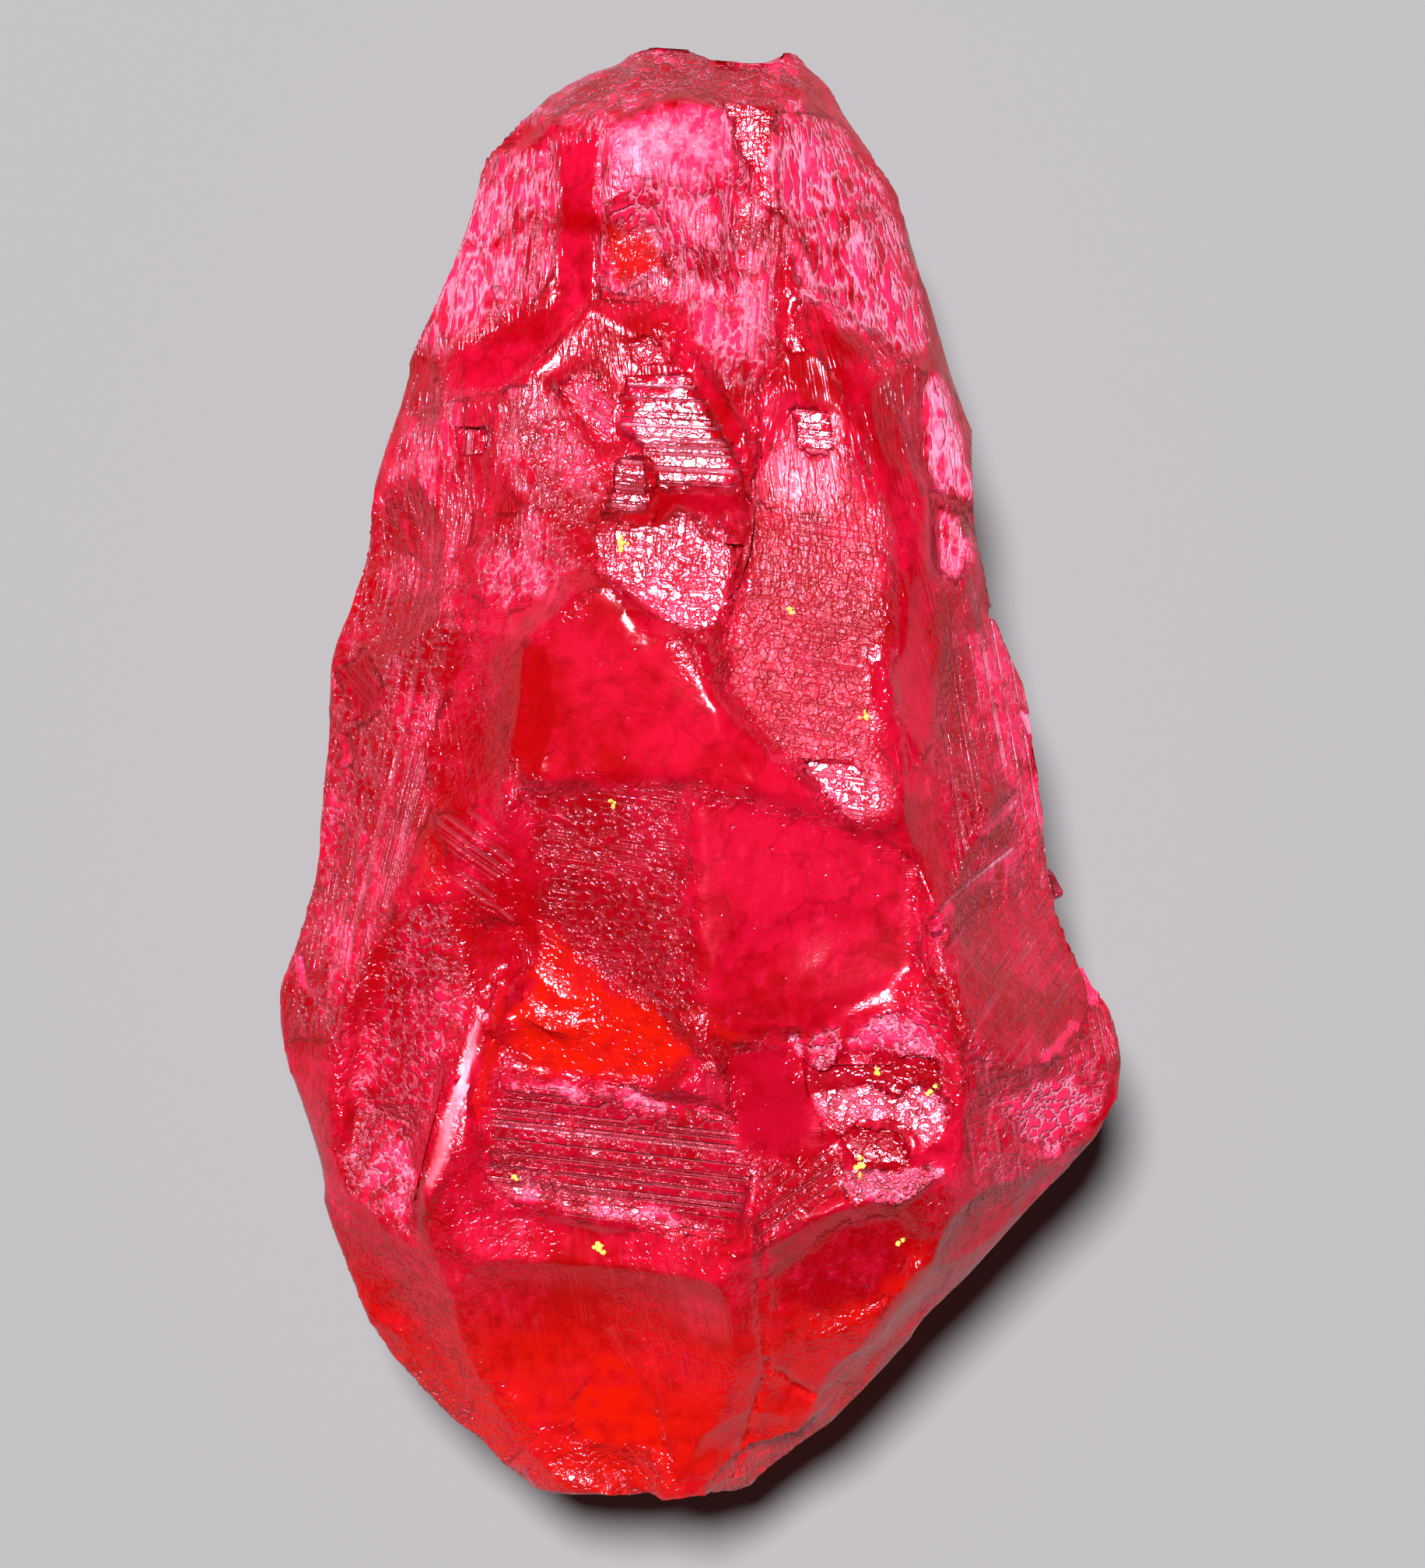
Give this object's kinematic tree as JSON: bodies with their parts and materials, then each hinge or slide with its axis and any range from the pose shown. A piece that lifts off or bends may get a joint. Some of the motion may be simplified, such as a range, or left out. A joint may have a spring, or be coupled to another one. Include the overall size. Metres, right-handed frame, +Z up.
{
  "type": "raw ruby crystal",
  "caption": "Raw red corundum crystal, long and tapering, with natural striated faces, shell-shaped breaks and broken ends, lying on a flat natural face.",
  "frame": {"origin": "centre of the crystal's outline, on the surface that it lies on", "axes": "+Y along the crystal towards its narrow broken end, +Z up, out of the side that shows best"},
  "size_m": [0.0569, 0.0976, 0.0375],
  "materials": {
    "ruby": "gloss, with frosted and striated faces"
  },
  "bodies": {
    "root": {"crystal": "ruby"}
  },
  "joints": []
}
